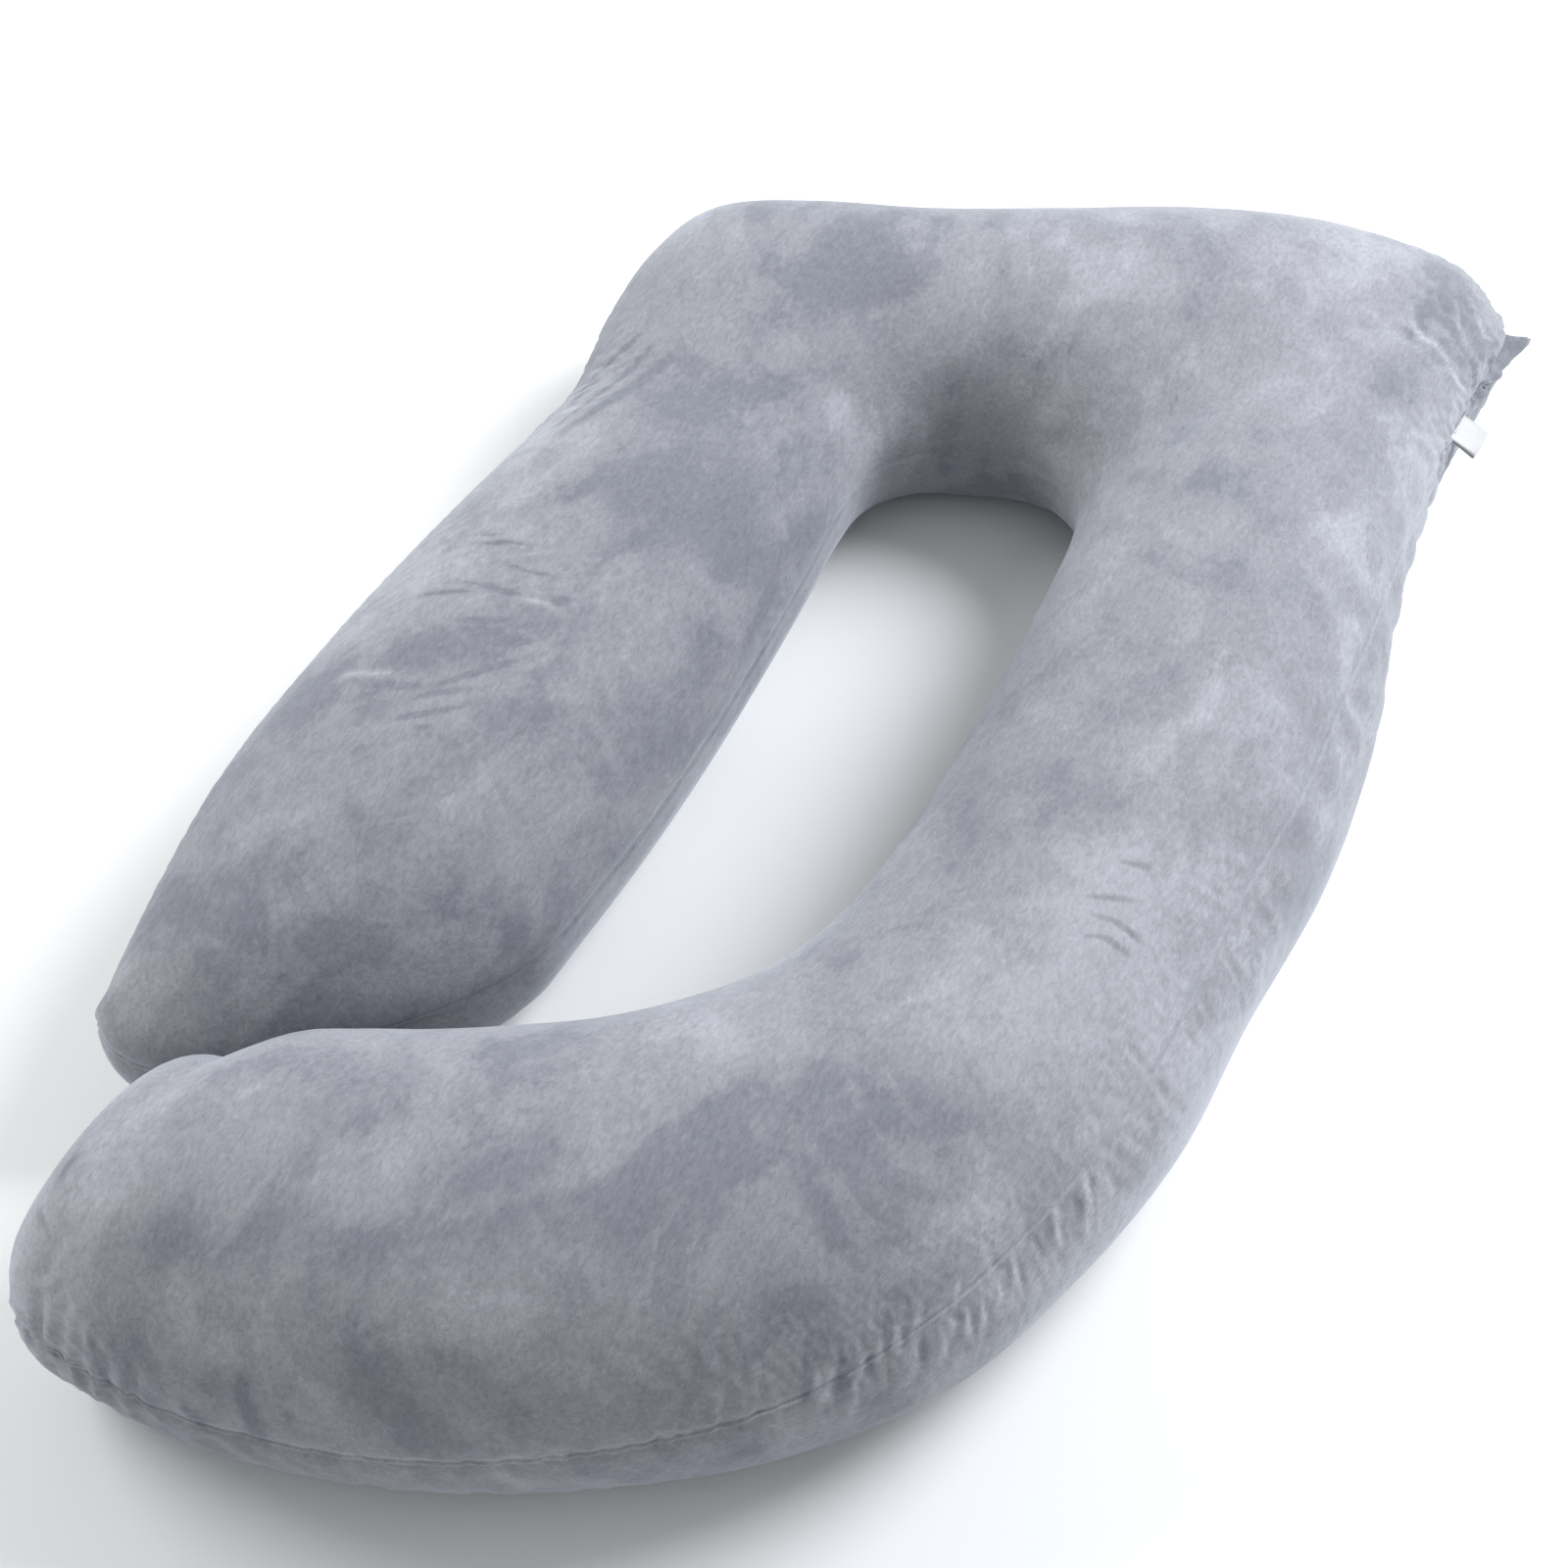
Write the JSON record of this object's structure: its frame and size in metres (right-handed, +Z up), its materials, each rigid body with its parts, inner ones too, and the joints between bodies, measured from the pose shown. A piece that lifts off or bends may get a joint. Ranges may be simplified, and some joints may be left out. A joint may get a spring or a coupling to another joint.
{
  "type": "pregnancy pillow",
  "caption": "Full-body pregnancy pillow in short-pile plush: a straight arm, a broad head end and a longer arm that curls round the foot end, with a bare label in the edge seam.",
  "frame": {"origin": "on the surface it lies on, under the middle of the pillow's bounding box", "axes": "+Z up, out of the surface; +Y towards the head end; +X towards the long curled arm's side"},
  "size_m": [0.7928, 1.4301, 0.2152],
  "materials": {
    "plush": "short-pile velvet plush with brushed nap patches, grey-blue",
    "label": "smooth white woven satin, bare"
  },
  "bodies": {
    "root": {"pillow_body": "plush", "care_label": "label"}
  },
  "joints": []
}
